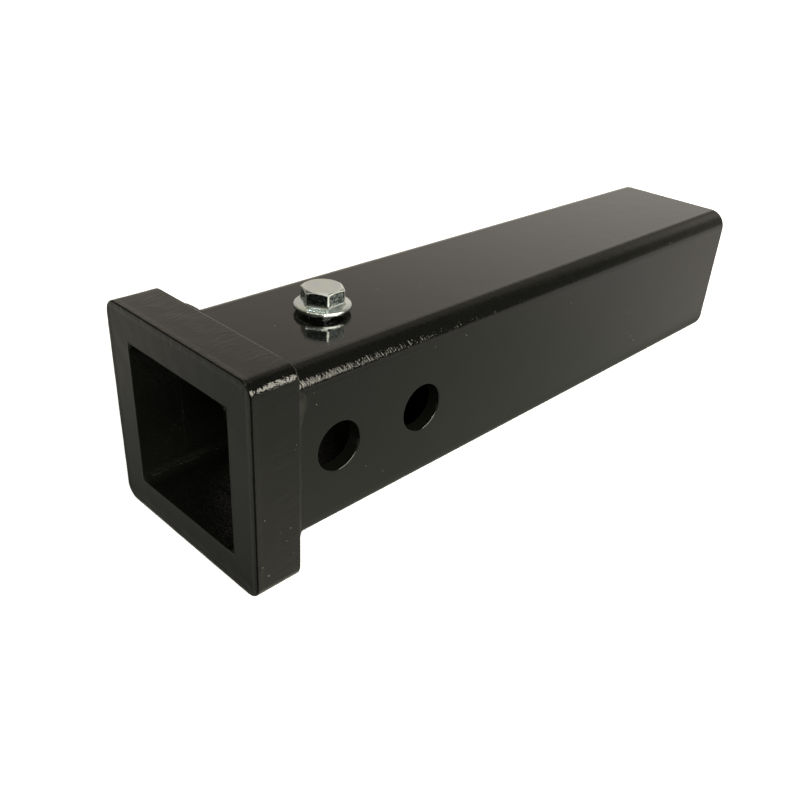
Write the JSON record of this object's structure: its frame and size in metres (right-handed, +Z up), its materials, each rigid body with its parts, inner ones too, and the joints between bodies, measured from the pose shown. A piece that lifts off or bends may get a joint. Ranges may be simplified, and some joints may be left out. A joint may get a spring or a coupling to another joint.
{
  "type": "hitch receiver adapter",
  "caption": "Square steel tube with a thick square collar welded round its open mouth, cross pin holes and a hex flange set bolt; reduces a larger hitch receiver to take a smaller shank.",
  "frame": {"origin": "centre of the mouth, on the collar's front face", "axes": "+X from the mouth along the tube, +Z up with the set bolt on top, pins go in along Y"},
  "size_m": [0.298, 0.078, 0.0798],
  "materials": {
    "powder_coat": "gloss black powder coat with light orange peel",
    "painted_weld": "gloss black powder coat over a laid weld",
    "zinc_plate": "bright zinc plate with a faint yellow-blue tint"
  },
  "bodies": {
    "adapter": {"shank_tube": "powder_coat", "receiver_collar": "powder_coat", "weld_run_top": "painted_weld", "weld_run_right": "painted_weld", "weld_run_bottom": "painted_weld", "weld_run_left": "painted_weld"},
    "set_bolt": {"anti_rattle_bolt": "zinc_plate"}
  },
  "joints": [
    {"name": "bolt_travel", "type": "slide", "parent": "adapter", "child": "set_bolt", "axis": [0, 0, 1], "range_m": [-0.0015, 0.008]}
  ]
}
